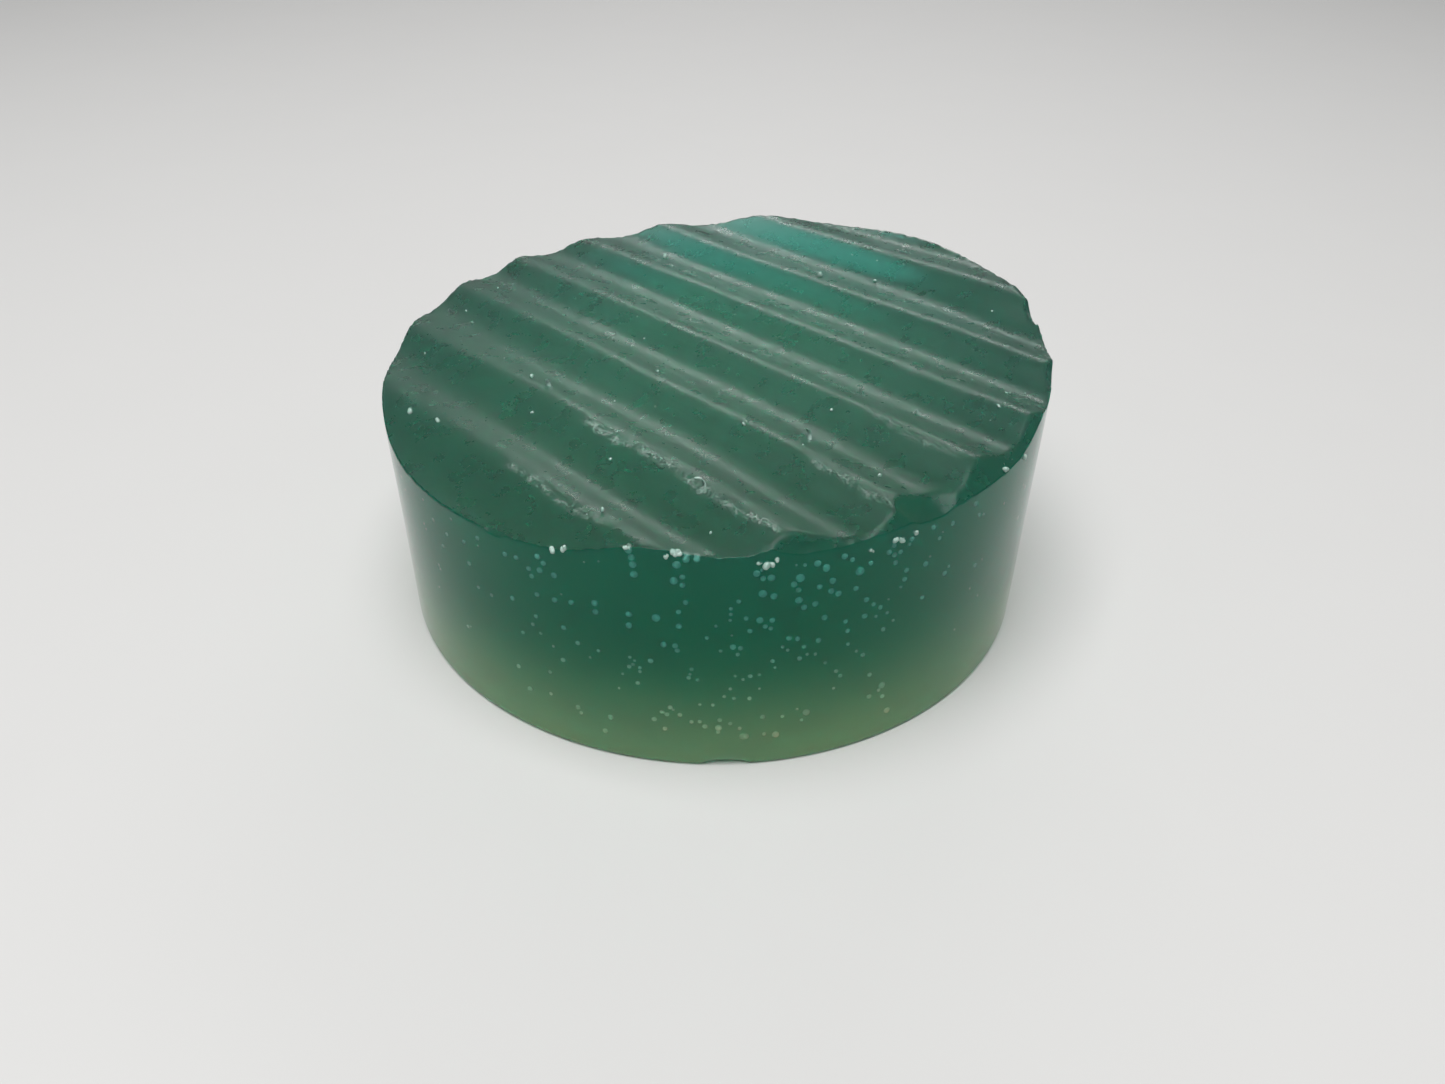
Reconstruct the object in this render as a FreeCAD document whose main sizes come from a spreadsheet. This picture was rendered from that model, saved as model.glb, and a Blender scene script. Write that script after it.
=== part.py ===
"""Shaving soap puck: a round slice of clear glycerine soap, cut across the top with a crinkle blade.

Millimetres, +Z up. The origin is the centre of the flat face that the puck rests on.
"""
import FreeCAD
import Part
import math
import os
import Sketcher

# Driving dimensions, with the meaning of each. Angles are in degrees, and a slope is a rise over a run.
DIMENSIONS = [
    ("puck_radius", 38.0, "outer radius of the cast bar"),
    ("blank_height", 40.0, "bar left standing before the crinkle cut"),
    ("base_round", 0.5, "round where the wall meets the resting face"),
    ("cut_height", 29.2, "height of the middle of the cut face on the axis"),
    ("ridge_turn", 45.0, "turn of the crinkle cut about the puck's axis"),
    ("slope_across", 0.039, "rise of the cut across its ridges, on the axis, towards the back right"),
    ("bend_across", 2.4, "how much more the cut has risen at the back right rim, and fallen at the front left"),
    ("wave_pitch", 10.35, "distance from crest to crest"),
    ("wave_depth", 1.6, "height from trough to crest"),
    ("crest_offset", 0.4, "distance of the middle crest from the axis, across the ridges"),
    ("scoop_radius", 7.0, "radius of the shell-shaped chip in the rim"),
    ("scoop_outward", 1.5, "how far the chip's centre lies outside the rim"),
    ("scoop_up", 4.9, "how far the chip's centre lies above the rim"),
    ("nick_radius", 1.3, "radius of the small nick in the bottom edge"),
    ("nick_outward", 0.6, "how far the nick's centre lies outside the wall"),
    ("thread_radius", 0.16, "half thickness of a curled shaving"),
    ("grain_size", 0.8, "edge of the largest crumb"),
]

# Where the loose matter lies on the cut face: x, y, then the size as a fraction of the largest, then a turn.
CRUMBS = [
    (-33.0, -12.0, 0.9, 20),
    (-29.5, -14.5, 0.7, 65),
    (-20.5, -6.5, 0.6, 110),
    (-7.0, 27.5, 0.8, 35),
    (13.5, 17.5, 0.9, 80),
    (20.5, 17.0, 0.6, 10),
    (3.0, -18.5, 0.5, 50),
    (-10.5, -31.5, 0.8, 15),
    (29.5, -16.0, 0.7, 70),
    (16.0, -26.5, 0.5, 40),
]

# Curled shavings: x, y, loop radius, sweep and turn.
CURLS = [
    (-1.5, -29.5, 1.0, 200, 30),
    (-18.0, -9.0, 0.8, 150, 100),
    (9.5, -20.5, 0.9, 170, 60),
    (22.0, -15.0, 0.7, 130, 140),
]

# Where the rim has worn or broken away: bearing in degrees from +X, length along the rim, how far in it
# reaches, and how far it falls below the crests at the wall.
BREAKS = [
    ("front_break", -68.0, 22.0, 7.0, 2.9),
    ("right_break", -38.0, 24.0, 3.0, 1.6),
]
SCOOP_BEARING = -58.0
NICK_BEARING = -87.0

# How a crumb lies: its sides against its length, how deep it sits, and its lean in degrees.
GRAIN_WIDTH = 0.7
GRAIN_HEIGHT = 0.8
GRAIN_SUNK = 0.25
GRAIN_PITCH = 8
GRAIN_ROLL = 12

# A curl stands almost upright on the crest.
CURL_STAND = 75

document = FreeCAD.newDocument("shaving_soap_puck")
sheet = document.addObject("Spreadsheet::Sheet", "Dimensions")
for row, (name, value, meaning) in enumerate(DIMENSIONS, start=1):
    sheet.set(f"A{row}", str(value))
    sheet.setAlias(f"A{row}", name)
    sheet.set(f"B{row}", meaning)
document.recompute()


def size(name):
    """A driving dimension's number."""
    return float(sheet.get(name))


def bind(item, prop, formula):
    """Bind a property to a formula written in the sheet's aliases."""
    for name, _, _ in DIMENSIONS:
        formula = formula.replace(f"[{name}]", f"Dimensions.{name}")
    item.setExpression(prop, formula)


def origin_plane(body, role):
    """One of a body's own origin planes."""
    for feature in body.Origin.OriginFeatures:
        if feature.Role == role:
            return feature
    raise ValueError(role)


def new_sketch(body, name, role):
    """A sketch on one of a body's own origin planes."""
    sketch = body.newObject("Sketcher::SketchObject", name)
    sketch.AttachmentSupport = [(origin_plane(body, role), "")]
    sketch.MapMode = "FlatFace"
    return sketch


def measure(sketch, kind, where, value, formula):
    """A sketch dimension that follows the sheet."""
    index = sketch.addConstraint(Sketcher.Constraint(kind, *where, value))
    bind(sketch, f"Constraints[{index}]", formula)


def wave_radius():
    """Radius of the arcs that make up the crinkle."""
    return (size("wave_pitch") ** 2 / 16 + size("wave_depth") ** 2 / 4) / size("wave_depth")


def blade_path(across):
    """Height of the crinkle's middle line, a gentle S from the low side of the cut to the high side."""
    fraction = across / size("puck_radius")
    return size("cut_height") + size("slope_across") * across + size("bend_across") * fraction ** 3


def cut_surface(x, y):
    """Height of the cut face over a point of the base."""
    turn = math.radians(size("ridge_turn"))
    across = x * math.cos(turn) + y * math.sin(turn)
    half = size("wave_pitch") / 2
    steps = (across - size("crest_offset")) / half + 0.5
    side = 1 if math.floor(steps) % 2 == 0 else -1
    from_middle = (steps - math.floor(steps) - 0.5) * half
    drop = wave_radius() - math.sqrt(wave_radius() ** 2 - from_middle ** 2)
    return blade_path(across) + side * (size("wave_depth") / 2 - drop)


def on_rim(bearing):
    """The point of the cut face's rim in a direction, counted from +X."""
    foot = outward(bearing) * size("puck_radius")
    return foot + FreeCAD.Vector(0, 0, cut_surface(foot.x, foot.y))


def outward(bearing):
    """The horizontal direction out of the wall."""
    angle = math.radians(bearing)
    return FreeCAD.Vector(math.cos(angle), math.sin(angle), 0)


def cast_bar(body):
    """The round bar as it leaves its mould, with a small round at the base."""
    sketch = new_sketch(body, "bar_section", "XZ_Plane")
    radius = size("puck_radius")
    height = size("blank_height")
    corner = size("base_round")
    sketch.addGeometry(Part.LineSegment(FreeCAD.Vector(0, 0, 0), FreeCAD.Vector(radius - corner, 0, 0)))
    sketch.addGeometry(Part.ArcOfCircle(
        Part.Circle(FreeCAD.Vector(radius - corner, corner, 0), FreeCAD.Vector(0, 0, 1), corner),
        -math.pi / 2, 0))
    sketch.addGeometry(Part.LineSegment(FreeCAD.Vector(radius, corner, 0), FreeCAD.Vector(radius, height, 0)))
    sketch.addGeometry(Part.LineSegment(FreeCAD.Vector(radius, height, 0), FreeCAD.Vector(0, height, 0)))
    sketch.addGeometry(Part.LineSegment(FreeCAD.Vector(0, height, 0), FreeCAD.Vector(0, 0, 0)))
    sketch.addConstraint(Sketcher.Constraint("Tangent", 0, 2, 1, 1))
    sketch.addConstraint(Sketcher.Constraint("Tangent", 1, 2, 2, 1))
    for index in (2, 3):
        sketch.addConstraint(Sketcher.Constraint("Coincident", index, 2, index + 1, 1))
    sketch.addConstraint(Sketcher.Constraint("Coincident", 4, 2, 0, 1))
    sketch.addConstraint(Sketcher.Constraint("Coincident", 0, 1, -1, 1))
    for index in (0, 3):
        sketch.addConstraint(Sketcher.Constraint("Horizontal", index))
    for index in (2, 4):
        sketch.addConstraint(Sketcher.Constraint("Vertical", index))
    measure(sketch, "DistanceX", (-1, 1, 2, 1), radius, "[puck_radius]")
    measure(sketch, "DistanceY", (-1, 1, 2, 2), height, "[blank_height]")
    measure(sketch, "Radius", (1,), corner, "[base_round]")
    bar = body.newObject("PartDesign::Revolution", "cast_bar")
    bar.Profile = sketch
    bar.ReferenceAxis = (sketch, ["V_Axis"])
    bar.Angle = 360
    return bar


def crinkle_cut(body):
    """The crinkle blade's pass: arcs that swing above and below the blade's path, swept along the ridges."""
    sketch = new_sketch(body, "crinkle_section", "XZ_Plane")
    upright = FreeCAD.Rotation(FreeCAD.Vector(0, 1, 0), size("ridge_turn"))
    sketch.AttachmentOffset = FreeCAD.Placement(FreeCAD.Vector(0, 0, 0), upright)
    bind(sketch, "AttachmentOffset.Rotation.Angle", "[ridge_turn]")

    half = size("wave_pitch") / 2
    swings = math.ceil(size("puck_radius") / half) + 1
    edges = range(-swings, swings + 1)

    def across(index):
        return size("crest_offset") + (index - 0.5) * half

    def crossing(index):
        return FreeCAD.Vector(across(index), blade_path(across(index)), 0)

    def pin(edge, end, index):
        """Hold an edge's end where the wave crosses the blade's path."""
        place = f"([crest_offset] + {index - 0.5} * [wave_pitch] / 2)"
        path = f"[cut_height] + [slope_across] * {place} + [bend_across] * ({place} / [puck_radius])^3"
        measure(sketch, "DistanceX", (-1, 1, edge, end), across(index), place)
        measure(sketch, "DistanceY", (-1, 1, edge, end), blade_path(across(index)), path)

    for index in edges:
        side = 1 if index % 2 == 0 else -1
        middle = across(index + 0.5)
        swing = FreeCAD.Vector(middle, blade_path(middle) + side * size("wave_depth") / 2, 0)
        sketch.addGeometry(Part.Arc(crossing(index), swing, crossing(index + 1)))
    arcs = len(edges)
    ceiling = size("blank_height")
    left = crossing(-swings)
    right = crossing(swings + 1)
    left_top = FreeCAD.Vector(left.x, ceiling, 0)
    right_top = FreeCAD.Vector(right.x, ceiling, 0)
    sketch.addGeometry(Part.LineSegment(right, right_top))
    sketch.addGeometry(Part.LineSegment(right_top, left_top))
    sketch.addGeometry(Part.LineSegment(left_top, left))

    # An arc over a crest runs backwards in the sketch, so its first point is the right-hand one.
    def left_end(index):
        return 2 if index % 2 == 0 else 1

    for edge, index in enumerate(edges):
        pin(edge, left_end(index), index)
        measure(sketch, "Radius", (edge,), wave_radius(),
                "([wave_pitch]^2 / 16 + [wave_depth]^2 / 4) / [wave_depth]")
        following = left_end(index + 1) if edge + 1 < arcs else 1
        sketch.addConstraint(Sketcher.Constraint("Coincident", edge, 3 - left_end(index), edge + 1, following))
    pin(arcs, 1, swings + 1)
    sketch.addConstraint(Sketcher.Constraint("Coincident", arcs, 2, arcs + 1, 1))
    sketch.addConstraint(Sketcher.Constraint("Coincident", arcs + 1, 2, arcs + 2, 1))
    sketch.addConstraint(Sketcher.Constraint("Coincident", arcs + 2, 2, 0, left_end(edges[0])))
    sketch.addConstraint(Sketcher.Constraint("Vertical", arcs))
    sketch.addConstraint(Sketcher.Constraint("Horizontal", arcs + 1))
    sketch.addConstraint(Sketcher.Constraint("Vertical", arcs + 2))
    measure(sketch, "DistanceY", (-1, 1, arcs, 2), ceiling, "[blank_height]")

    cut = body.newObject("PartDesign::Pocket", "crinkle_cut")
    cut.Profile = sketch
    cut.Type = "Length"
    bind(cut, "Length", "[puck_radius] * 3")
    cut.Midplane = True
    return cut


def rim_break(name, bearing, length, reach, fall):
    """A block whose sloping underside takes the rim down to a bevel."""
    foot = outward(bearing) * size("puck_radius")
    turn = math.radians(size("ridge_turn"))
    across = foot.x * math.cos(turn) + foot.y * math.sin(turn)
    wall_point = foot + FreeCAD.Vector(0, 0, blade_path(across) + size("wave_depth") / 2 - fall)
    tilt = FreeCAD.Rotation(FreeCAD.Vector(0, 0, 1), bearing + 90)
    tilt = tilt.multiply(FreeCAD.Rotation(FreeCAD.Vector(1, 0, 0), math.degrees(math.atan2(fall, reach))))
    block = document.addObject("Part::Box", name)
    block.Length = length
    block.Width = length + 2 * reach
    bind(block, "Height", "[wave_depth] * 6")
    corner = FreeCAD.Vector(-length / 2, -length, 0)
    block.Placement = FreeCAD.Placement(wall_point + tilt.multVec(corner), tilt)
    return block


def rim_chips():
    """What has worn or broken off the puck's edges since it was cut."""
    pieces = [rim_break(*values) for values in BREAKS]

    scoop = document.addObject("Part::Sphere", "scoop")
    bind(scoop, "Radius", "[scoop_radius]")
    fall = FreeCAD.Vector(0, 0, -BREAKS[0][-1] / 2)
    scoop.Placement.Base = (on_rim(SCOOP_BEARING) + outward(SCOOP_BEARING) * size("scoop_outward")
                            + FreeCAD.Vector(0, 0, size("scoop_up")) + fall)

    nick = document.addObject("Part::Sphere", "nick")
    bind(nick, "Radius", "[nick_radius]")
    nick.Placement.Base = outward(NICK_BEARING) * (size("puck_radius") + size("nick_outward"))

    chips = document.addObject("Part::Compound", "chips")
    chips.Links = pieces + [scoop, nick]
    return chips


def soap_puck():
    """The puck itself: cast bar, crinkle cut, then the chips."""
    body = document.addObject("PartDesign::Body", "puck_body")
    bar = cast_bar(body)
    document.recompute()
    whole = bar.Shape.Volume
    cut = crinkle_cut(body)
    body.Tip = cut
    document.recompute()
    if body.Shape.Volume > whole * 0.9:
        raise ValueError("the crinkle cut removed too little")
    puck = document.addObject("Part::Cut", "soap_puck")
    puck.Base = body
    puck.Tool = rim_chips()
    puck.Label = "soap_puck"
    return puck


def resting_on(puck, pieces, name):
    """Loose pieces trimmed by the puck, so that they sit on the cut face with no gap or overlap."""
    gathered = document.addObject("Part::Compound", name + "_blanks")
    gathered.Links = pieces
    rested = document.addObject("Part::Cut", name)
    rested.Base = gathered
    rested.Tool = puck
    rested.Label = name
    return rested


def cut_crumbs(puck):
    """Broken grains of soap that the blade left on the cut face."""
    grains = []
    for index, (x, y, fraction, turn) in enumerate(CRUMBS):
        grain = document.addObject("Part::Box", f"grain_{index}")
        bind(grain, "Length", f"[grain_size] * {fraction}")
        bind(grain, "Width", f"[grain_size] * {fraction * GRAIN_WIDTH}")
        bind(grain, "Height", f"[grain_size] * {fraction * GRAIN_HEIGHT}")
        low = cut_surface(x, y) - size("grain_size") * fraction * GRAIN_SUNK
        lie = FreeCAD.Rotation(turn, GRAIN_PITCH, GRAIN_ROLL)
        grain.Placement = FreeCAD.Placement(FreeCAD.Vector(x, y, low), lie)
        grains.append(grain)
    return resting_on(puck, grains, "cut_crumbs")


def cut_curls(puck):
    """Thin shavings that curled off the crests as the blade passed."""
    threads = []
    for index, (x, y, loop, sweep, turn) in enumerate(CURLS):
        thread = document.addObject("Part::Torus", f"thread_{index}")
        thread.Radius1 = loop
        bind(thread, "Radius2", "[thread_radius]")
        thread.Angle3 = sweep
        stand = FreeCAD.Rotation(FreeCAD.Vector(0, 0, 1), turn)
        stand = stand.multiply(FreeCAD.Rotation(FreeCAD.Vector(1, 0, 0), CURL_STAND))
        thread.Placement = FreeCAD.Placement(FreeCAD.Vector(x, y, cut_surface(x, y)), stand)
        threads.append(thread)
    return resting_on(puck, threads, "cut_curls")


puck = soap_puck()
crumbs = cut_crumbs(puck)
curls = cut_curls(puck)
document.recompute()

for item in document.Objects:
    if "Invalid" in item.State or "Error" in item.State:
        raise ValueError(f"{item.Name} failed: {item.State}")

os.makedirs("parts", exist_ok=True)
for part in (puck, crumbs, curls):
    shape = part.Shape
    if shape.isNull() or not shape.isValid():
        raise ValueError(f"{part.Label} has no valid shape")
    shape.exportStep(f"parts/{part.Label}.step")
    box = shape.optimalBoundingBox(False, False)
    print(part.Label, "solids", len(shape.Solids), "volume", round(shape.Volume, 2), "mm3,",
          "x", round(box.XMin, 2), round(box.XMax, 2), "y", round(box.YMin, 2), round(box.YMax, 2),
          "z", round(box.ZMin, 3), round(box.ZMax, 2))
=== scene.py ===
"""Looks of the shaving soap puck: a crinkle-cut slice of translucent green glycerine soap on a pale floor.

Shapes are worked out in millimetres and built in metres. +X is to the camera's right, and the camera looks
along +Y. Angles are in degrees unless a name says otherwise.
"""
import math

import bpy
import numpy as np
from mathutils import Matrix, Vector


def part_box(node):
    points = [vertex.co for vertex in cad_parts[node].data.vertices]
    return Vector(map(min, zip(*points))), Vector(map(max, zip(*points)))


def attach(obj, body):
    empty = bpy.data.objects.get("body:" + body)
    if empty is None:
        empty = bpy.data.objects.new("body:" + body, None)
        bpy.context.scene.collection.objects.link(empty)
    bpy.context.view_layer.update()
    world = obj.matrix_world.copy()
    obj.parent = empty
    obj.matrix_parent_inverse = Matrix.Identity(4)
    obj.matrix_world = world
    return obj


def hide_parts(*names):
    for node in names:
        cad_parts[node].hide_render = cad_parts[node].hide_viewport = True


MM = 0.001
SEED = 7

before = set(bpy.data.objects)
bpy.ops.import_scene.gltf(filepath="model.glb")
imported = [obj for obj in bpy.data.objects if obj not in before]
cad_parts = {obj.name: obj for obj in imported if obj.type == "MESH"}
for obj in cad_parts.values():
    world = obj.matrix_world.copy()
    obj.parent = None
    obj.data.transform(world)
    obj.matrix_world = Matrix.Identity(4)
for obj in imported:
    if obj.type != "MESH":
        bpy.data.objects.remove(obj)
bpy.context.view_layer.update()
puck_low, puck_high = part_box("soap_puck")

# ---------------------------------------------------------------- the puck's sizes, in mm
RADIUS = (puck_high.x - puck_low.x) / 2 / MM
BASE_ROUND = 0.5
CUT_HEIGHT = 29.2
SLOPE_ACROSS = 0.039
BEND_ACROSS = 2.4
WAVE_PITCH = 10.35
WAVE_DEPTH = 1.2
TROUGH_OFFSET = 5.575
CREST_SHARE = 0.45
CREST_SHARPNESS = 1.2
RIM_ROUND = 0.16
GRID = 200
WALL_ROWS = 20


def smoothstep(low, high, value):
    """0 below low, 1 above high, and an S between them."""
    fraction = np.clip((value - low) / (high - low), 0, 1)
    return fraction * fraction * (3 - 2 * fraction)


def lattice_noise(seed, size=64):
    """A square of random numbers that smooth_noise reads."""
    return np.random.default_rng(seed).uniform(-1, 1, (size, size))


def smooth_noise(x, y, grid):
    """Smooth noise between -1 and 1 with features about 1 unit across."""
    size = grid.shape[0]
    column = np.floor(x).astype(int)
    row = np.floor(y).astype(int)
    along = x - column
    up = y - row
    along = along * along * (3 - 2 * along)
    up = up * up * (3 - 2 * up)
    low_left = grid[row % size, column % size]
    low_right = grid[row % size, (column + 1) % size]
    high_left = grid[(row + 1) % size, column % size]
    high_right = grid[(row + 1) % size, (column + 1) % size]
    low = low_left + (low_right - low_left) * along
    high = high_left + (high_right - high_left) * along
    return low + (high - low) * up


def across_and_along(x, y):
    """Distances across the ridges and along them."""
    return (x + y) / math.sqrt(2), (x - y) / math.sqrt(2)


def blade_path(across):
    """Height of the crinkle's middle line, the same gentle S as the solid's."""
    return CUT_HEIGHT + SLOPE_ACROSS * across + BEND_ACROSS * (across / RADIUS) ** 3


def crinkle(across):
    """One broad trough and one narrower crest a pitch, with the steeper side towards the near edge."""
    share = ((across - TROUGH_OFFSET) / WAVE_PITCH) % 1
    phase = np.where(share < CREST_SHARE, share / CREST_SHARE / 2, 1 - (1 - share) / (1 - CREST_SHARE) / 2)
    rise = (0.5 - 0.5 * np.cos(2 * math.pi * phase)) ** CREST_SHARPNESS
    return WAVE_DEPTH * (rise - 0.5)


# Broken rim: bearing, length along the rim, reach inwards, fall at the wall.
BREAKS = [
    (-70.0, 23.0, 1.7, 2.7),
    (-44.0, 28.0, 2.0, 2.7),
    (-123.5, 5.0, 1.4, 2.0),
    (-148.0, 8.0, 1.2, 1.7),
    (-14.0, 6.0, 1.0, 1.5),
    (6.0, 5.0, 0.9, 1.3),
]
SCOOP_BEARING = -57.0
SCOOP_RADIUS = 7.0
SCOOP_OUTWARD = 1.5
SCOOP_UP = 4.9
SCOOP_FALL = 0.8

# Torn crests: distance across, first and last place along it, and how badly it is torn.
TEARS = [
    (-21.3, 0.0, 31.0, 0.75),
    (-11.0, 22.0, 36.0, 0.7),
    (-0.6, 21.0, 36.0, 0.6),
    (9.7, 18.0, 30.0, 0.35),
    (-31.2, 0.0, 18.0, 0.7),
    (-11.0, -6.0, 12.0, 0.3),
]

wander = lattice_noise(SEED + 1)
coarse = lattice_noise(SEED + 2)
middling = lattice_noise(SEED + 3)
fine = lattice_noise(SEED + 4)
edge_noise = lattice_noise(SEED + 5)

PIT_COUNT = 16
rng = np.random.default_rng(SEED)
pits = np.column_stack([
    RADIUS * np.sqrt(rng.uniform(0, 0.97, PIT_COUNT)),
    rng.uniform(-math.pi, math.pi, PIT_COUNT),
    rng.uniform(0.35, 0.7, PIT_COUNT),
    rng.uniform(0.05, 0.18, PIT_COUNT),
])


def torn_share(x, y):
    """How torn each point is, from 0 to 1."""
    across, along = across_and_along(x, y)
    frayed = 0.5 + 0.5 * smooth_noise(along / 0.7, across / 0.35, fine)
    torn = np.zeros_like(across)
    for crest, first, last, harm in TEARS:
        line = crest + 0.45 * smooth_noise(along / 3.5, across * 0 + crest, coarse)
        width = 0.45 + 0.6 * harm * (0.5 + 0.5 * smooth_noise(along / 2.2, across * 0 + crest + 9, middling))
        near = smoothstep(width + 0.35, width * 0.3, np.abs(across - line))
        run = smoothstep(first, first + 3, along) * smoothstep(last, last - 2, along)
        torn = np.maximum(torn, near * run * harm * (0.3 + 0.7 * frayed))
    return torn


def cut_face(x, y):
    """Height of the cut face, and how much of each point is fresh break, in mm and from 0 to 1."""
    across, along = across_and_along(x, y)
    radius = np.hypot(x, y)
    bearing = np.degrees(np.arctan2(y, x))
    shifted = across + 0.3 * smooth_noise(along / 18, across / 9 + 7, wander)
    depth = 1.05 + 0.12 * smooth_noise(along / 22 + 3, across / 8, wander) - 0.35 * smoothstep(0, -30, along)
    path = blade_path(across)
    height = path + crinkle(shifted) * depth
    height = height + 0.8 * smoothstep(16, 38, x) * smoothstep(-6, 16, y)
    height = height - 0.8 * smoothstep(12, 36, along) * np.exp(-((across + 14) / 11) ** 2)

    # A slow lumpiness that the blade leaves, and the torn crests.
    height = height + 0.02 * smooth_noise(along / 7, across / 1.8, coarse)
    height = height + 0.005 * smooth_noise(along / 4 + 5, across / 0.6, middling)
    height = height + torn_share(x, y) * (0.08 + 0.12 * smooth_noise(along / 0.9, across / 0.5, fine))

    whole = height
    ripple = smooth_noise(bearing / 4, radius / 1.5, edge_noise)
    inward = RADIUS - radius
    for centre, length, reach, fall in BREAKS:
        turn = (bearing - centre + 180) % 360 - 180
        sideways = np.abs(math.radians(1) * turn * RADIUS) / (length / 2)
        plane = path + WAVE_DEPTH / 2 - fall * (1 - smoothstep(0.3, 1.15, sideways) * 1.05)
        plane = plane + fall * (inward / reach) ** 0.8 + 0.14 * ripple
        height = np.where(inward < reach * 1.4, np.minimum(height, plane), height)

    centre = math.radians(SCOOP_BEARING)
    scoop_x = (RADIUS + SCOOP_OUTWARD) * math.cos(centre)
    scoop_y = (RADIUS + SCOOP_OUTWARD) * math.sin(centre)
    rim_across = RADIUS * (math.cos(centre) + math.sin(centre)) / math.sqrt(2)
    scoop_z = blade_path(rim_across) + WAVE_DEPTH / 2 + SCOOP_UP - SCOOP_FALL
    away = (x - scoop_x) ** 2 + (y - scoop_y) ** 2
    bowl = scoop_z - np.sqrt(np.maximum(SCOOP_RADIUS ** 2 - away, 0))
    rings = 0.04 * np.sin(np.sqrt(away) * 5)
    height = np.where(away < SCOOP_RADIUS ** 2, np.minimum(height, bowl + rings), height)
    fresh = smoothstep(0.02, 0.25, whole - height)

    for pit_radius, pit_bearing, size, depth in pits:
        near = (x - pit_radius * math.cos(pit_bearing)) ** 2 + (y - pit_radius * math.sin(pit_bearing)) ** 2
        height = height - depth * np.exp(-near / (size / 2) ** 2)

    # The rim itself is a little ragged.
    ragged = smoothstep(RADIUS - 0.9, RADIUS, radius)
    height = height + ragged * 0.09 * smooth_noise(bearing / 0.9, radius * 0, edge_noise)
    return height, fresh


def disc_points(count):
    """A square grid of count by count cells pressed into a unit disc, and each point's place in it."""
    line = np.linspace(-1, 1, count + 1)
    a, b = np.meshgrid(line, line)
    wide = np.abs(a) > np.abs(b)
    radius = np.where(wide, a, b)
    with np.errstate(divide="ignore", invalid="ignore"):
        angle = np.where(wide, math.pi / 4 * b / a, math.pi / 2 - math.pi / 4 * a / b)
    angle = np.where(radius == 0, 0, angle)
    return radius * np.cos(angle), radius * np.sin(angle)


def boundary_loop(count):
    """Indices of a square grid's border, once round."""
    side = count + 1
    bottom = [column for column in range(count)]
    right = [row * side + count for row in range(count)]
    top = [count * side + column for column in range(count, 0, -1)]
    left = [row * side for row in range(count, 0, -1)]
    return bottom + right + top + left


# A shallow chip in the bottom edge.
NICK_BEARING = -88.0
NICK_HALF_WIDTH = 2.6
NICK_HEIGHT = 0.9
NICK_DEPTH = 0.45


def wall_radius(bearing, height):
    """The wall is a cylinder that swells a few hundredths of a millimetre, less its chip at the bottom."""
    swell = 0.05 * smooth_noise(bearing / 40, height / 14, wander)
    sideways = np.radians(bearing - NICK_BEARING) * RADIUS / NICK_HALF_WIDTH
    hollow = np.sqrt(np.maximum(1 - sideways ** 2 - (height / NICK_HEIGHT) ** 2, 0))
    return RADIUS + swell - NICK_DEPTH * hollow


def wall_rings(bearing, rim_height):
    """Radius and height of each ring from the rim round down to the middle of the base."""
    rings = []
    inner = RADIUS - RIM_ROUND
    for share in (0.4, 0.8, 1.0):
        turn = share * math.pi / 2
        rings.append((np.full(len(bearing), inner + RIM_ROUND * math.sin(turn)),
                      rim_height - RIM_ROUND * (1 - math.cos(turn))))
    shoulder = rings[-1][1]
    for row in range(1, WALL_ROWS + 1):
        share = (1 - math.cos(math.pi * row / WALL_ROWS)) / 2
        height = shoulder + (BASE_ROUND - shoulder) * share
        rings.append((RADIUS + (wall_radius(bearing, height) - RADIUS) * min(1, 8 * share), height))
    for share in (0.25, 0.5, 0.75, 1.0):
        turn = share * math.pi / 2
        height = np.full(len(bearing), BASE_ROUND * (1 - math.sin(turn)))
        rings.append((wall_radius(bearing, height) - BASE_ROUND * (1 - math.cos(turn)), height))
    for share in (0.96, 0.9, 0.75, 0.5, 0.25):
        rings.append((np.full(len(bearing), RADIUS * share), np.zeros(len(bearing))))
    return rings


def puck_mesh():
    """Vertices and faces of the puck's skin, in mm, and its cut, fresh and torn shares at each vertex."""
    unit_x, unit_y = disc_points(GRID)
    x = (unit_x * (RADIUS - RIM_ROUND)).ravel()
    y = (unit_y * (RADIUS - RIM_ROUND)).ravel()
    height, fresh = cut_face(x, y)
    vertices = [np.column_stack([x, y, height])]
    side = GRID + 1
    faces = []
    for row in range(GRID):
        for column in range(GRID):
            start = row * side + column
            faces.append((start, start + 1, start + side + 1, start + side))

    loop = boundary_loop(GRID)
    columns = len(loop)
    turn = np.arctan2(y[loop], x[loop])
    previous = list(loop)
    total = len(x)
    for radius, ring_height in wall_rings(np.degrees(turn), height[loop]):
        vertices.append(np.column_stack([radius * np.cos(turn), radius * np.sin(turn), ring_height]))
        current = list(range(total, total + columns))
        for column in range(columns):
            following = (column + 1) % columns
            faces.append((previous[column], current[column], current[following], previous[following]))
        previous = current
        total += columns
    vertices.append(np.zeros((1, 3)))
    for column in range(columns):
        faces.append((previous[column], total, previous[(column + 1) % columns]))
    vertices = np.vstack(vertices)

    marks = {name: np.zeros(len(vertices)) for name in ("cut", "fresh", "torn")}
    marks["cut"][:len(x)] = 1
    marks["fresh"][:len(x)] = fresh
    marks["torn"][:len(x)] = torn_share(x, y) * (1 - fresh)
    return vertices, faces, marks


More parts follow.
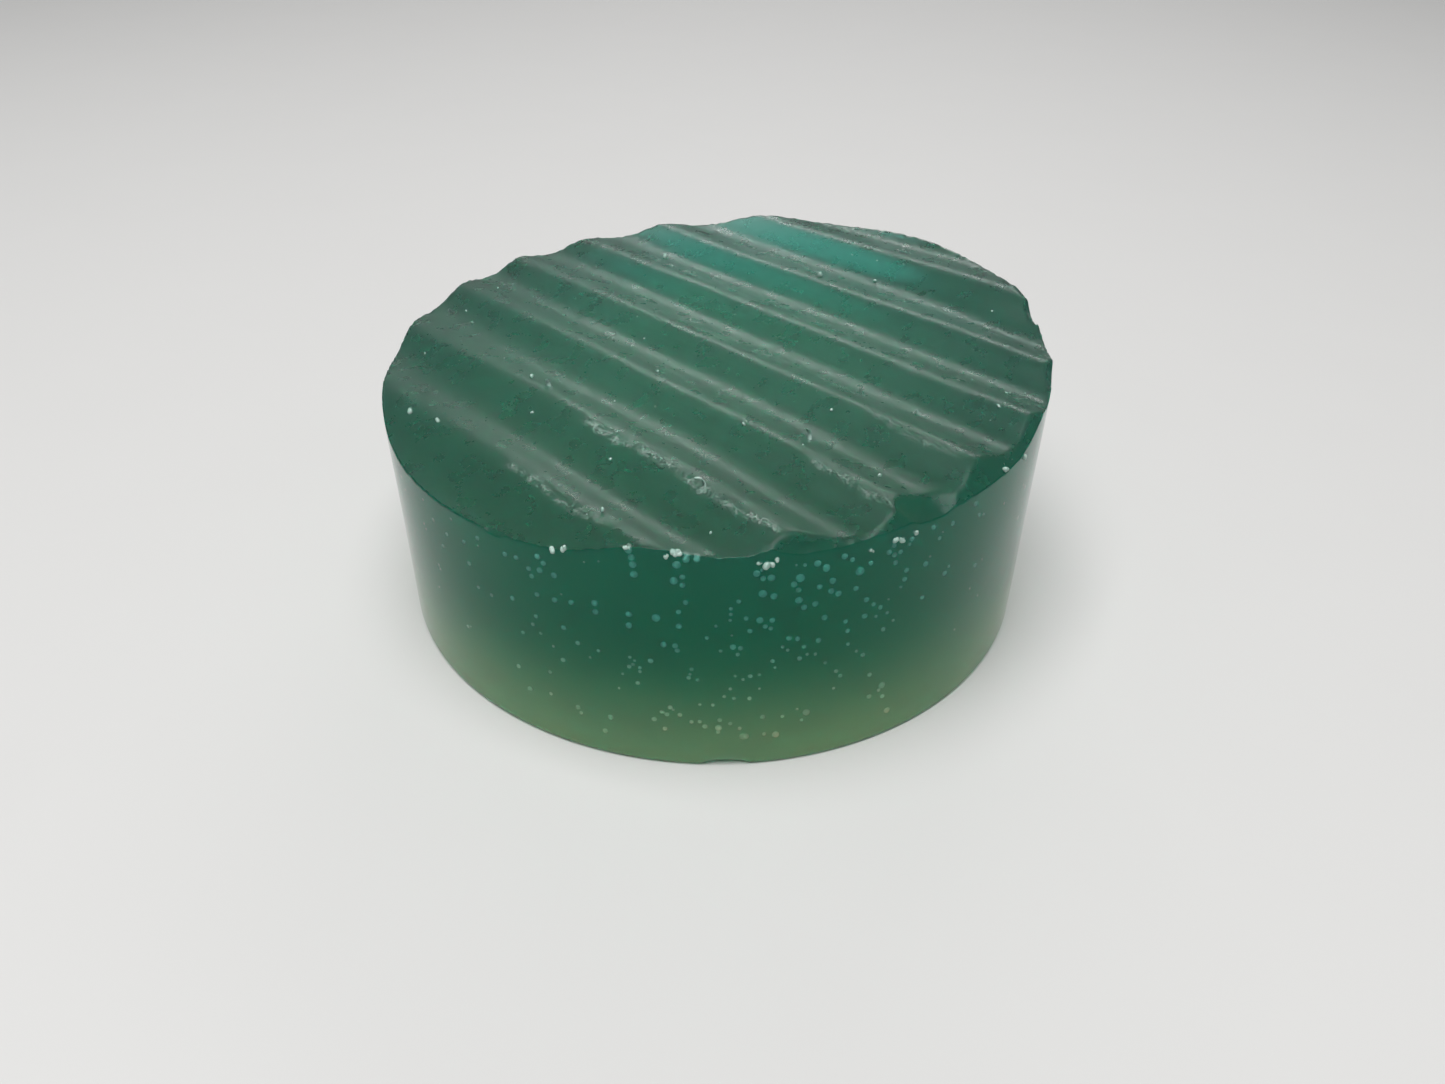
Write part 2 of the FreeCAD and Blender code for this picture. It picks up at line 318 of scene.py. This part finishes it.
# ---------------------------------------------------------------- air bubbles
# Bubbles that rose against the mould where the wall is nearest: bearing, height, radius.
NEAR_BUBBLES = [
    (-135.5, 21.0, 0.25), (-130.5, 19.0, 0.28), (-129.0, 16.5, 0.25), (-127.5, 23.0, 0.28),
    (-126.3, 16.3, 0.25), (-122.2, 22.5, 0.30), (-121.7, 17.3, 0.28), (-120.0, 22.7, 0.30),
    (-118.3, 14.9, 0.25), (-118.0, 21.8, 0.30), (-117.6, 16.1, 0.25), (-117.5, 21.1, 0.28),
    (-117.0, 18.9, 0.30), (-116.2, 23.6, 0.33), (-116.0, 22.1, 0.33), (-115.2, 23.1, 0.30),
    (-114.0, 18.9, 0.33), (-113.6, 22.0, 0.33), (-112.9, 15.7, 0.30), (-112.6, 20.0, 0.14),
    (-111.2, 19.2, 0.30), (-110.7, 14.2, 0.27), (-108.4, 24.6, 0.13), (-107.4, 19.8, 0.35),
    (-107.4, 18.7, 0.33), (-107.3, 13.9, 0.22), (-106.2, 25.0, 0.13), (-102.3, 19.1, 0.35),
    (-102.4, 17.7, 0.35), (-102.4, 13.9, 0.20), (-101.9, 26.7, 0.38), (-101.5, 25.9, 0.34),
    (-101.4, 25.0, 0.38), (-101.2, 24.0, 0.40), (-101.0, 12.1, 0.20), (-99.3, 13.7, 0.30),
    (-98.3, 19.1, 0.43), (-97.3, 15.9, 0.33), (-95.6, 15.9, 0.30), (-95.3, 15.3, 0.28),
    (-95.6, 23.7, 0.40), (-95.2, 25.4, 0.42), (-95.0, 20.1, 0.25), (-95.0, 18.3, 0.33),
    (-94.4, 24.2, 0.30), (-94.4, 23.2, 0.30), (-94.0, 21.2, 0.28), (-93.9, 26.1, 0.38),
    (-92.4, 26.7, 0.33), (-91.0, 17.1, 0.22), (-89.7, 18.6, 0.18), (-89.0, 15.5, 0.20),
    (-87.6, 20.6, 0.20), (-87.6, 19.9, 0.20), (-87.7, 19.3, 0.18), (-87.4, 17.4, 0.15),
    (-87.2, 15.8, 0.33), (-86.5, 21.4, 0.25), (-86.5, 15.0, 0.22), (-86.1, 15.7, 0.27),
    (-85.4, 19.3, 0.25), (-84.8, 17.8, 0.28), (-84.1, 24.5, 0.35), (-83.4, 25.0, 0.18),
    (-83.4, 19.0, 0.36), (-83.2, 24.0, 0.28), (-83.1, 22.1, 0.42), (-82.6, 18.2, 0.27),
    (-82.0, 23.9, 0.40), (-81.8, 18.0, 0.25), (-81.6, 18.9, 0.30), (-81.5, 21.7, 0.36),
    (-81.3, 13.8, 0.25), (-79.9, 15.5, 0.20), (-79.1, 15.0, 0.20), (-79.0, 16.5, 0.30),
    (-78.7, 22.9, 0.33), (-78.6, 25.2, 0.13), (-78.0, 22.2, 0.30), (-77.8, 23.5, 0.45),
    (-77.8, 20.9, 0.40), (-77.7, 16.3, 0.27), (-77.3, 25.0, 0.20), (-77.2, 13.7, 0.28),
    (-77.0, 20.0, 0.33), (-76.6, 15.1, 0.25), (-76.1, 14.2, 0.20), (-75.4, 24.9, 0.37),
    (-75.4, 20.3, 0.33), (-74.9, 22.2, 0.30), (-74.8, 14.0, 0.20), (-74.4, 15.6, 0.30),
    (-74.0, 24.2, 0.40), (-73.8, 18.4, 0.33), (-73.0, 21.4, 0.33), (-72.9, 22.6, 0.35),
    (-71.9, 21.0, 0.33), (-71.4, 25.2, 0.32), (-70.4, 17.4, 0.25), (-70.2, 24.7, 0.27),
    (-69.9, 16.1, 0.25), (-69.6, 14.4, 0.22), (-69.1, 21.1, 0.30), (-68.7, 23.0, 0.46),
    (-68.0, 13.1, 0.20), (-67.2, 23.8, 0.27), (-67.2, 19.4, 0.30), (-67.2, 17.4, 0.33),
    (-65.9, 18.6, 0.25), (-65.3, 17.0, 0.20), (-64.7, 18.0, 0.27), (-64.3, 24.5, 0.30),
    (-63.7, 15.0, 0.27), (-63.5, 25.1, 0.26), (-63.5, 18.8, 0.15), (-63.3, 17.0, 0.22),
    (-63.3, 24.0, 0.30), (-62.9, 23.0, 0.30), (-62.2, 24.1, 0.28), (-62.0, 15.7, 0.20),
    (-61.5, 19.8, 0.20), (-60.8, 20.5, 0.30), (-60.8, 24.7, 0.20), (-60.7, 21.6, 0.30),
    (-60.4, 25.2, 0.27), (-57.0, 21.4, 0.33), (-56.7, 17.2, 0.28), (-56.6, 25.7, 0.30),
    (-56.4, 22.2, 0.15), (-55.0, 24.0, 0.25), (-54.5, 24.6, 0.15), (-52.6, 25.1, 0.27),
    (-52.5, 19.0, 0.33), (-52.0, 19.8, 0.20), (-46.3, 24.3, 0.25), (-47.7, 26.0, 0.30),
]
# Groups that hang deeper or lie round the sides and back: first and last bearing, lowest, highest, how many,
# smallest and largest radius, and the depth of the deepest.
GROUPS = [
    (-125.0, -60.0, 1.8, 6.0, 26, 0.22, 0.42, 3.0),
    (-125.0, -60.0, 6.0, 13.0, 34, 0.16, 0.30, 4.0),
    (-100.0, -84.0, 3.0, 12.0, 14, 0.18, 0.30, 2.0),
    (-178.0, -126.0, 6.0, 24.0, 22, 0.14, 0.28, 3.0),
    (-46.0, -5.0, 8.0, 26.0, 20, 0.14, 0.30, 3.0),
    (-5.0, 182.0, 5.0, 26.0, 66, 0.14, 0.34, 3.5),
]


def bubble_centres():
    """Centre and radius of each bubble, in mm, with none touching another or the skin."""
    draws = np.random.default_rng(SEED + 20)
    wanted = []
    for bearing, height, size in NEAR_BUBBLES:
        wanted.append((bearing, height, size, size + draws.uniform(0.1, 0.35)))
    for first, last, low, high, count, small, large, deepest in GROUPS:
        for _ in range(count):
            size = small + (large - small) * draws.uniform(0, 1) ** 1.6
            depth = size + 0.15 + deepest * draws.uniform(0, 1) ** 2
            wanted.append((draws.uniform(first, last), draws.uniform(low, high), size, depth))
    placed = []
    for bearing, height, size, depth in wanted:
        x = (RADIUS - depth) * math.cos(math.radians(bearing))
        y = (RADIUS - depth) * math.sin(math.radians(bearing))
        skin = float(cut_face(np.array([x]), np.array([y]))[0][0])
        height = min(height, skin - size - 0.25)
        clear = all((x - a) ** 2 + (y - b) ** 2 + (height - c) ** 2 > (size + d + 0.04) ** 2
                    for a, b, c, d in placed)
        if clear:
            placed.append((x, y, height, size))
    return placed


def ball(cells):
    """Unit sphere as a cube of cells by cells faces pushed out to a ball, faces outwards."""
    vertices = []
    index = {}
    faces = []
    for axis in range(3):
        for sign in (-1.0, 1.0):
            for row in range(cells):
                for column in range(cells):
                    quad = []
                    for step_row, step_column in ((0, 0), (0, 1), (1, 1), (1, 0)):
                        point = [0.0, 0.0, 0.0]
                        point[axis] = sign
                        point[(axis + 1) % 3] = round(-1 + 2 * (row + step_row) / cells, 6)
                        point[(axis + 2) % 3] = round(-1 + 2 * (column + step_column) / cells, 6)
                        key = tuple(point)
                        if key not in index:
                            index[key] = len(vertices)
                            pushed = Vector([math.tan(math.pi / 4 * value) for value in key]).normalized()
                            vertices.append(tuple(pushed))
                        quad.append(index[key])
                    faces.append(quad if sign < 0 else quad[::-1])
    return np.array(vertices), faces


def new_piece(name, vertices, faces, material):
    """A smooth-shaded piece that rides on the part, from vertices in mm."""
    mesh = bpy.data.meshes.new(name)
    mesh.from_pydata((np.asarray(vertices) * MM).tolist(), [], faces)
    mesh.polygons.foreach_set("use_smooth", [True] * len(mesh.polygons))
    mesh.update()
    mesh.materials.append(material)
    piece = bpy.data.objects.new(name, mesh)
    bpy.context.scene.collection.objects.link(piece)
    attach(piece, "root")
    return piece


def build_puck(material):
    """The casting, with its bubbles as closed hollows whose faces look at their own centres."""
    vertices, faces, marks = puck_mesh()
    blocks = [vertices]
    total = len(vertices)
    unit, outward = ball(3)
    inward = [face[::-1] for face in outward]
    stretch = np.random.default_rng(SEED + 30)
    for x, y, z, size in bubble_centres():
        squash = np.array([1.0, 1.0, stretch.uniform(0.9, 1.08)])
        blocks.append(unit * size * squash + np.array([x, y, z]))
        faces.extend([[corner + total for corner in face] for face in inward])
        total += len(unit)
    piece = new_piece("soap_casting", np.vstack(blocks), faces, material)
    skin = len(vertices)
    marks["bubble"] = np.zeros(skin)
    for name, values in marks.items():
        attribute = piece.data.attributes.new(name, "FLOAT", "POINT")
        padded = np.full(total, 1.0 if name == "bubble" else 0.0)
        padded[:skin] = values
        attribute.data.foreach_set("value", padded)
    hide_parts("soap_puck")


# ---------------------------------------------------------------- crumbs, curls and froth
# Crumbs on the cut face: x, y and width.
CRUMBS = [
    (-33.0, -12.0, 0.9), (-29.5, -14.5, 0.7), (-20.5, -6.5, 0.6), (-7.0, 27.5, 0.8), (13.5, 17.5, 0.9),
    (20.5, 17.0, 0.6), (3.0, -18.5, 0.5), (-10.5, -31.5, 0.8), (29.5, -16.0, 0.7), (16.0, -26.5, 0.5),
]
DUST_COUNT = 70
# Shavings: x, y, coil radius, turn, and how much of a circle each makes.
CURLS = [
    (-1.5, -29.5, 0.7, 30, 200), (-18.0, -9.0, 0.6, 100, 150), (9.5, -20.5, 0.7, 60, 170),
    (22.0, -15.0, 0.5, 140, 130),
]
# Burst bubbles and burrs along the rim: bearing, height, radius.
FROTH = [
    (-113.3, 25.2, 0.36), (-111.5, 25.6, 0.36), (-96.6, 26.5, 0.38), (-95.3, 27.0, 0.42), (-94.7, 27.1, 0.3),
    (-83.8, 25.9, 0.34), (-82.6, 25.7, 0.5), (-81.6, 26.2, 0.28), (-67.4, 25.5, 0.25), (-63.6, 25.9, 0.32),
    (-62.6, 25.8, 0.36), (-60.2, 26.0, 0.36), (-40.5, 27.9, 0.42), (-34.0, 27.3, 0.36), (-101.9, 27.0, 0.3),
]


def lump(centre, size, seed):
    """An irregular grain about size wide."""
    unit, faces = ball(4)
    draws = np.random.default_rng(seed)
    bulges = draws.normal(size=(7, 3))
    bulges = bulges / np.linalg.norm(bulges, axis=1)[:, None]
    reach = np.ones(len(unit))
    for bulge, height in zip(bulges, draws.uniform(-0.45, 0.5, len(bulges))):
        reach = reach + height * smoothstep(0.3, 1, unit @ bulge)
    stretch = draws.uniform(0.7, 1.1, 3)
    return unit * reach[:, None] * stretch * size / 2 + np.array(centre), faces


def lumps(name, grains, material):
    """One piece of many grains, each a centre and a width."""
    blocks = []
    faces = []
    total = 0
    for number, (centre, size) in enumerate(grains):
        vertices, own_faces = lump(centre, size, SEED + 100 + number)
        blocks.append(vertices)
        faces.extend([[corner + total for corner in face] for face in own_faces])
        total += len(vertices)
    return new_piece(name, np.vstack(blocks), faces, material)


def on_face(x, y, lift):
    """A point above the cut face."""
    return x, y, float(cut_face(np.array([x]), np.array([y]))[0][0]) + lift


def build_crumbs(material):
    draws = np.random.default_rng(SEED + 40)
    grains = [(on_face(x, y, size * 0.2), size * 0.75) for x, y, size in CRUMBS]
    for _ in range(DUST_COUNT):
        radius = RADIUS * 0.95 * math.sqrt(draws.uniform(0, 1))
        turn = draws.uniform(-math.pi, math.pi)
        size = 0.10 + 0.24 * draws.uniform(0, 1) ** 3
        grains.append((on_face(radius * math.cos(turn), radius * math.sin(turn), size * 0.2), size))
    piece = lumps("loose_crumbs", grains, material)
    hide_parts("cut_crumbs")


def build_froth(material):
    draws = np.random.default_rng(SEED + 50)
    grains = []
    for bearing, height, radius in FROTH:
        for _ in range(3):
            turn = math.radians(bearing + draws.uniform(-0.35, 0.35))
            out = RADIUS - 0.25 * radius
            rise = height + draws.uniform(-0.15, 0.15)
            centre = (out * math.cos(turn), out * math.sin(turn), rise)
            grains.append((centre, radius * draws.uniform(0.9, 1.7)))
    piece = lumps("rim_froth", grains, material)


CURL_STEPS = 18
CURL_WIDTH = 0.5
CURL_THICKNESS = 0.12


def build_curls(material):
    """Thin shavings, each a tapering ribbon bent round part of a circle that stands on the face."""
    blocks = []
    faces = []
    total = 0
    for x, y, coil, turn, sweep in CURLS:
        turn = math.radians(turn)
        flat = np.array([math.cos(turn), math.sin(turn), 0.0])
        beside = np.array([-math.sin(turn), math.cos(turn), 0.0])
        centre = np.array(on_face(x, y, coil * 0.45))
        for step in range(CURL_STEPS + 1):
            share = step / CURL_STEPS
            angle = math.radians(-100 + sweep * share)
            spoke = flat * math.cos(angle) + np.array([0, 0, math.sin(angle)])
            taper = math.sin(math.pi * (0.08 + 0.84 * share)) ** 0.5
            half = CURL_WIDTH / 2 * taper
            drift = beside * 0.5 * share
            for out, aside in ((0.5, -1), (0.5, 1), (-0.5, 1), (-0.5, -1)):
                reach = coil * (1 + 0.25 * share) + out * CURL_THICKNESS * taper
                blocks.append(centre + spoke * reach + beside * half * aside + drift)
        for step in range(CURL_STEPS):
            start = total + 4 * step
            for corner in range(4):
                following = (corner + 1) % 4
                faces.append((start + corner, start + following, start + 4 + following, start + 4 + corner))
        last = total + 4 * CURL_STEPS
        faces.append((total + 3, total + 2, total + 1, total))
        faces.append((last, last + 1, last + 2, last + 3))
        total += 4 * (CURL_STEPS + 1)
    piece = new_piece("loose_curls", blocks, faces, material)
    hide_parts("cut_curls")


# ---------------------------------------------------------------- materials
class Nodes:
    """A short way to write a material's node tree."""

    def __init__(self, name):
        self.material = bpy.data.materials.new(name)
        self.material.use_nodes = True
        self.tree = self.material.node_tree
        self.shader = self.tree.nodes["Principled BSDF"]
        self.output = self.tree.nodes["Material Output"]

    def new(self, kind, **settings):
        node = self.tree.nodes.new(kind)
        for key, value in settings.items():
            setattr(node, key, value)
        return node

    def link(self, source, target):
        self.tree.links.new(source, target)

    def math(self, operation, first, second=None, clamp=False):
        node = self.new("ShaderNodeMath", operation=operation, use_clamp=clamp)
        for socket, value in zip(node.inputs, (first, second)):
            if value is None:
                continue
            if isinstance(value, (int, float)):
                socket.default_value = value
            else:
                self.link(value, socket)
        return node.outputs[0]

    def ramp(self, value, low, high, to_low=0.0, to_high=1.0):
        node = self.new("ShaderNodeMapRange", interpolation_type="SMOOTHSTEP")
        self.link(value, node.inputs["Value"])
        node.inputs["From Min"].default_value = low
        node.inputs["From Max"].default_value = high
        node.inputs["To Min"].default_value = to_low
        node.inputs["To Max"].default_value = to_high
        return node.outputs["Result"]

    def noise(self, vector, scale, detail=3.0, roughness=0.55):
        node = self.new("ShaderNodeTexNoise")
        self.link(vector, node.inputs["Vector"])
        node.inputs["Scale"].default_value = scale
        node.inputs["Detail"].default_value = detail
        node.inputs["Roughness"].default_value = roughness
        return node.outputs["Fac"]

    def mix(self, factor, first, second, blend="MIX"):
        node = self.new("ShaderNodeMix", data_type="RGBA", blend_type=blend)
        for socket, value in ((node.inputs[0], factor), (node.inputs[6], first), (node.inputs[7], second)):
            if isinstance(value, (int, float)):
                socket.default_value = value
            elif isinstance(value, tuple):
                socket.default_value = (*value, 1.0)
            else:
                self.link(value, socket)
        return node.outputs[2]

    def bump(self, height, distance, strength=1.0, normal=None):
        node = self.new("ShaderNodeBump")
        self.link(height, node.inputs["Height"])
        node.inputs["Distance"].default_value = distance
        node.inputs["Strength"].default_value = strength
        if normal is not None:
            self.link(normal, node.inputs["Normal"])
        return node.outputs["Normal"]


ABSORPTION = (130.0, 22.0, 31.0)  # per metre, in red, green and blue
SCATTERING = 30.0
FORWARD = 0.4


def clear_green(nodes, absorption, scattering):
    """Fill the piece with a green that swallows red and scatters a little, as glycerine soap does."""
    strongest = max(absorption)
    absorb = nodes.new("ShaderNodeVolumeAbsorption")
    absorb.inputs["Color"].default_value = (*[1 - value / strongest for value in absorption], 1)
    absorb.inputs["Density"].default_value = strongest
    scatter = nodes.new("ShaderNodeVolumeScatter")
    scatter.inputs["Color"].default_value = (1, 1, 1, 1)
    scatter.inputs["Density"].default_value = scattering
    scatter.inputs["Anisotropy"].default_value = FORWARD
    both = nodes.new("ShaderNodeAddShader")
    nodes.link(absorb.outputs[0], both.inputs[0])
    nodes.link(scatter.outputs[0], both.inputs[1])
    nodes.link(both.outputs[0], nodes.output.inputs["Volume"])


# Painted light and shade: the cut face's bright middle and grey edge stand in for light seen through the
# soap, not for its own colour.
TOP_MIDDLE_PAINTED_GLOW = (0.74, 0.98, 0.88)
TOP_EDGE = (0.46, 0.55, 0.50)
WALL_HIGH = (0.10, 0.48, 0.40)
# Painted light: a pale yellow-green foot that stands in for light thrown up through the base.
WALL_FOOT_PAINTED_GLOW = (0.95, 0.88, 0.50)
FRESH_TINT = (0.22, 0.50, 0.44)
TORN_TINT = (0.80, 0.88, 0.82)
TRANSMISSION = 0.97
# Painted reflection: the white bubble skin stands in for the bright reflections of a clear bubble; the lamps
# shade it.
BUBBLE_PAINTED_REFLECTION = (0.95, 1.0, 0.97)
BUBBLE_CLOUD = 0.55  # share of a bubble's skin that isn't clear
FOOT_CLOUD = 0.10  # how much less clear the wall is at its foot
FINE_LINE_SHARE = 0.40
BROAD_LINE_SHARE = 0.2
GRIT_SHARE = 0.04
BLADE_MARK_DEPTH = 0.00002  # metres
TORN_DEPTH = 0.00006  # metres
TOP_ROUGH = 0.30
REFRACTION = 1.41
SPECULAR_TINT = (0.35, 0.36, 0.36, 1.0)


def soap_material():
    nodes = Nodes("soap")
    place = nodes.new("ShaderNodeTexCoord").outputs["Object"]
    split = nodes.new("ShaderNodeSeparateXYZ")
    nodes.link(place, split.inputs[0])
    x, y, z = split.outputs
    cut, fresh, torn, bubble = (nodes.new("ShaderNodeAttribute", attribute_name=name).outputs["Fac"]
                                for name in ("cut", "fresh", "torn", "bubble"))
    across = nodes.math("MULTIPLY", nodes.math("ADD", x, y), math.sqrt(0.5))
    along = nodes.math("MULTIPLY", nodes.math("SUBTRACT", x, y), math.sqrt(0.5))
    radius = nodes.math("SQRT", nodes.math("ADD", nodes.math("MULTIPLY", x, x), nodes.math("MULTIPLY", y, y)))
    drawn = nodes.new("ShaderNodeCombineXYZ")
    nodes.link(across, drawn.inputs[0])
    nodes.link(nodes.math("MULTIPLY", along, 0.02), drawn.inputs[1])
    nodes.link(z, drawn.inputs[2])
    blade_marks = nodes.noise(drawn.outputs[0], 4800, 2)
    broad_marks = nodes.noise(drawn.outputs[0], 620, 2)
    cloud = nodes.noise(place, 70, 3)
    waxy = nodes.noise(place, 420, 4)
    grit = nodes.noise(place, 3800, 2)

    # Tint: the cut face is painted a bright clear green in the middle and greyer all round its edge, painted
    # light and painted shade standing in for light seen through the soap.
    middle = nodes.ramp(radius, 0.010, 0.037, 1.0, 0.0)
    green = nodes.mix(middle, TOP_EDGE, TOP_MIDDLE_PAINTED_GLOW)
    top_tint_and_painted_glow = nodes.mix(nodes.ramp(broad_marks, 0.3, 0.75, 0.0, 0.25), green, TOP_EDGE)
    # Painted light: the wall's foot is painted pale yellow-green up to about 20 mm, standing in for light
    # thrown up through the base. The same low mask makes the foot a little less clear, so that the painted
    # glow shows.
    low = nodes.math("POWER", nodes.ramp(z, 0.0005, 0.020, 1.0, 0.0), 1.4)
    pale = nodes.math("MULTIPLY", low, nodes.ramp(cloud, 0.3, 0.7, 0.8, 1.0))
    wall_tint_and_painted_glow = nodes.mix(pale, WALL_HIGH, WALL_FOOT_PAINTED_GLOW)
    tint = nodes.mix(cut, wall_tint_and_painted_glow, top_tint_and_painted_glow)
    tint = nodes.mix(nodes.math("MULTIPLY", fresh, 0.7), tint, FRESH_TINT)
    white = nodes.math("MULTIPLY", torn, nodes.ramp(grit, 0.35, 0.6, 0.25, 1.0))
    tint = nodes.mix(nodes.math("MULTIPLY", white, 0.8), tint, TORN_TINT)

    # A bubble's skin is painted white and only partly clear, the same all over, a painted reflection standing
    # in for a clear bubble's bright reflections; the lamps shade it.
    tint = nodes.mix(bubble, tint, BUBBLE_PAINTED_REFLECTION)
    nodes.link(tint, nodes.shader.inputs["Base Color"])
    clear = nodes.ramp(white, 0.1, 0.9, TRANSMISSION, 0.6)
    wall_cloud = nodes.math("SUBTRACT", FOOT_CLOUD, nodes.math("MULTIPLY", cut, FOOT_CLOUD))
    clear = nodes.math("SUBTRACT", clear, nodes.math("MULTIPLY", low, wall_cloud))
    bubble_clear = nodes.math("SUBTRACT", 1.0, nodes.math("MULTIPLY", bubble, BUBBLE_CLOUD))
    clear = nodes.math("MULTIPLY", clear, bubble_clear)
    nodes.link(clear, nodes.shader.inputs["Transmission Weight"])

    # Satin cut face with blade marks along the ridges; smooth moulded wall; half-clear breaks.
    satin = nodes.ramp(waxy, 0.3, 0.7, TOP_ROUGH - 0.05, TOP_ROUGH + 0.06)
    top_rough = nodes.math("ADD", satin, nodes.math("MULTIPLY", white, 0.2))
    wall_rough = nodes.ramp(nodes.noise(place, 90, 3), 0.3, 0.7, 0.06, 0.14)
    unbroken = nodes.math("SUBTRACT", 1.0, nodes.math("MULTIPLY", fresh, 0.3))
    bladed = nodes.math("MULTIPLY", cut, unbroken)
    rough = nodes.new("ShaderNodeMix", data_type="FLOAT")
    nodes.link(bladed, rough.inputs[0])
    nodes.link(wall_rough, rough.inputs[2])
    nodes.link(top_rough, rough.inputs[3])
    nodes.link(rough.outputs[0], nodes.shader.inputs["Roughness"])

    fine_lines = nodes.math("MULTIPLY", blade_marks, FINE_LINE_SHARE)
    broad_lines = nodes.math("MULTIPLY", broad_marks, BROAD_LINE_SHARE)
    marks = nodes.math("ADD", fine_lines, broad_lines)
    marks = nodes.math("ADD", marks, nodes.math("MULTIPLY", grit, GRIT_SHARE))
    normal = nodes.bump(nodes.math("MULTIPLY", marks, bladed), BLADE_MARK_DEPTH)
    normal = nodes.bump(nodes.math("MULTIPLY", white, grit), TORN_DEPTH, 1.0, normal)
    nodes.link(normal, nodes.shader.inputs["Normal"])

    nodes.shader.inputs["IOR"].default_value = REFRACTION
    nodes.shader.inputs["Specular Tint"].default_value = SPECULAR_TINT
    clear_green(nodes, ABSORPTION, SCATTERING)
    return nodes.material


def dry_soap_material():
    nodes = Nodes("dry_soap")
    place = nodes.new("ShaderNodeTexCoord").outputs["Object"]
    cloud = nodes.noise(place, 1500, 3)
    tint = nodes.mix(nodes.ramp(cloud, 0.3, 0.7), (0.26, 0.44, 0.37), (0.52, 0.66, 0.60))
    nodes.link(tint, nodes.shader.inputs["Base Color"])
    nodes.link(nodes.ramp(cloud, 0.2, 0.8, 0.25, 0.5), nodes.shader.inputs["Roughness"])
    nodes.link(nodes.bump(nodes.noise(place, 5200, 2), 0.00006), nodes.shader.inputs["Normal"])
    nodes.shader.inputs["IOR"].default_value = 1.47
    nodes.shader.inputs["Transmission Weight"].default_value = 0.15
    return nodes.material


def floor_material():
    nodes = Nodes("studio_floor")
    place = nodes.new("ShaderNodeTexCoord").outputs["Object"]
    tint = nodes.mix(nodes.noise(place, 40, 2), (0.555, 0.55, 0.54), (0.565, 0.56, 0.55))
    nodes.link(tint, nodes.shader.inputs["Base Color"])
    nodes.shader.inputs["Roughness"].default_value = 0.7
    return nodes.material


# ---------------------------------------------------------------- pieces
build_puck(soap_material())
dry_soap = dry_soap_material()
build_crumbs(dry_soap)
build_curls(dry_soap)
build_froth(dry_soap)


# ---------------------------------------------------------------- stage, lights, camera
def studio_floor():
    size = 3.0
    mesh = bpy.data.meshes.new("studio_floor")
    corners = [(-size, -size, 0), (size, -size, 0), (size, size, 0), (-size, size, 0)]
    mesh.from_pydata(corners, [], [(0, 1, 2, 3)])
    floor = bpy.data.objects.new("studio_floor", mesh)
    floor.location.z = -0.00005
    mesh.materials.append(floor_material())
    bpy.context.scene.collection.objects.link(floor)


def area_light(name, bearing, height, distance, size, watts):
    """A soft oblong lamp that looks at the puck, placed by bearing and height angle."""
    data = bpy.data.lights.new(name, "AREA")
    data.shape = "RECTANGLE"
    data.size = size[0]
    data.size_y = size[1]
    data.energy = watts
    lamp = bpy.data.objects.new(name, data)
    bearing = math.radians(bearing)
    height = math.radians(height)
    level = math.cos(height)
    direction = Vector((level * math.cos(bearing), level * math.sin(bearing), math.sin(height)))
    lamp.location = direction * distance
    lamp.rotation_euler = direction.to_track_quat("Z", "Y").to_euler()
    bpy.context.scene.collection.objects.link(lamp)


CAMERA_DISTANCE = 143.2
CAMERA_HEIGHT_ANGLE = 35.91
CAMERA_ROLL = 0.63
CAMERA_PAN = 0.0076
CAMERA_TIP = 0.0077
FOCAL_LENGTH = 27.0
SENSOR = 36.0


def make_camera():
    """A close view from in front and above, a little off the puck's centre."""
    data = bpy.data.cameras.new("camera")
    data.lens = FOCAL_LENGTH
    data.sensor_width = SENSOR
    data.sensor_fit = "HORIZONTAL"
    data.clip_start = 0.01
    data.clip_end = 20
    camera = bpy.data.objects.new("camera", data)
    rise = math.radians(CAMERA_HEIGHT_ANGLE)
    place = Vector((0, -math.cos(rise), math.sin(rise))) * CAMERA_DISTANCE * MM
    forward = -place.normalized()
    right = forward.cross(Vector((0, 0, 1))).normalized()
    up = right.cross(forward)
    forward = (forward + right * CAMERA_PAN + up * CAMERA_TIP).normalized()
    right = forward.cross(Vector((0, 0, 1))).normalized()
    up = right.cross(forward)
    roll = math.radians(CAMERA_ROLL)
    right, up = right * math.cos(roll) + up * math.sin(roll), up * math.cos(roll) - right * math.sin(roll)
    turn = Matrix((right, up, -forward)).transposed()
    camera.matrix_world = Matrix.Translation(place) @ turn.to_4x4()
    bpy.context.scene.collection.objects.link(camera)
    bpy.context.scene.camera = camera


# Name, bearing and height angle in degrees, distance and size in metres, and watts.
LAMPS = [
    ("window", 80, 30, 0.9, (0.5, 0.07), 1.0),
    ("far_window", 106, 25, 0.9, (0.5, 0.07), 0.2),
    ("overhead", -110, 76, 0.8, (0.6, 0.6), 8.5),
]
WORLD_COLOUR = (0.93, 0.95, 0.97, 1)
WORLD_STRENGTH = 0.20

studio_floor()
for lamp in LAMPS:
    area_light(*lamp)
world = bpy.data.worlds.new("studio")
world.use_nodes = True
world.node_tree.nodes["Background"].inputs["Color"].default_value = WORLD_COLOUR
world.node_tree.nodes["Background"].inputs["Strength"].default_value = WORLD_STRENGTH
bpy.context.scene.world = world
make_camera()

scene = bpy.context.scene
scene.cycles.transmission_bounces = 12
scene.cycles.max_bounces = 24
scene.cycles.volume_bounces = 8
scene.view_settings.view_transform = "Standard"
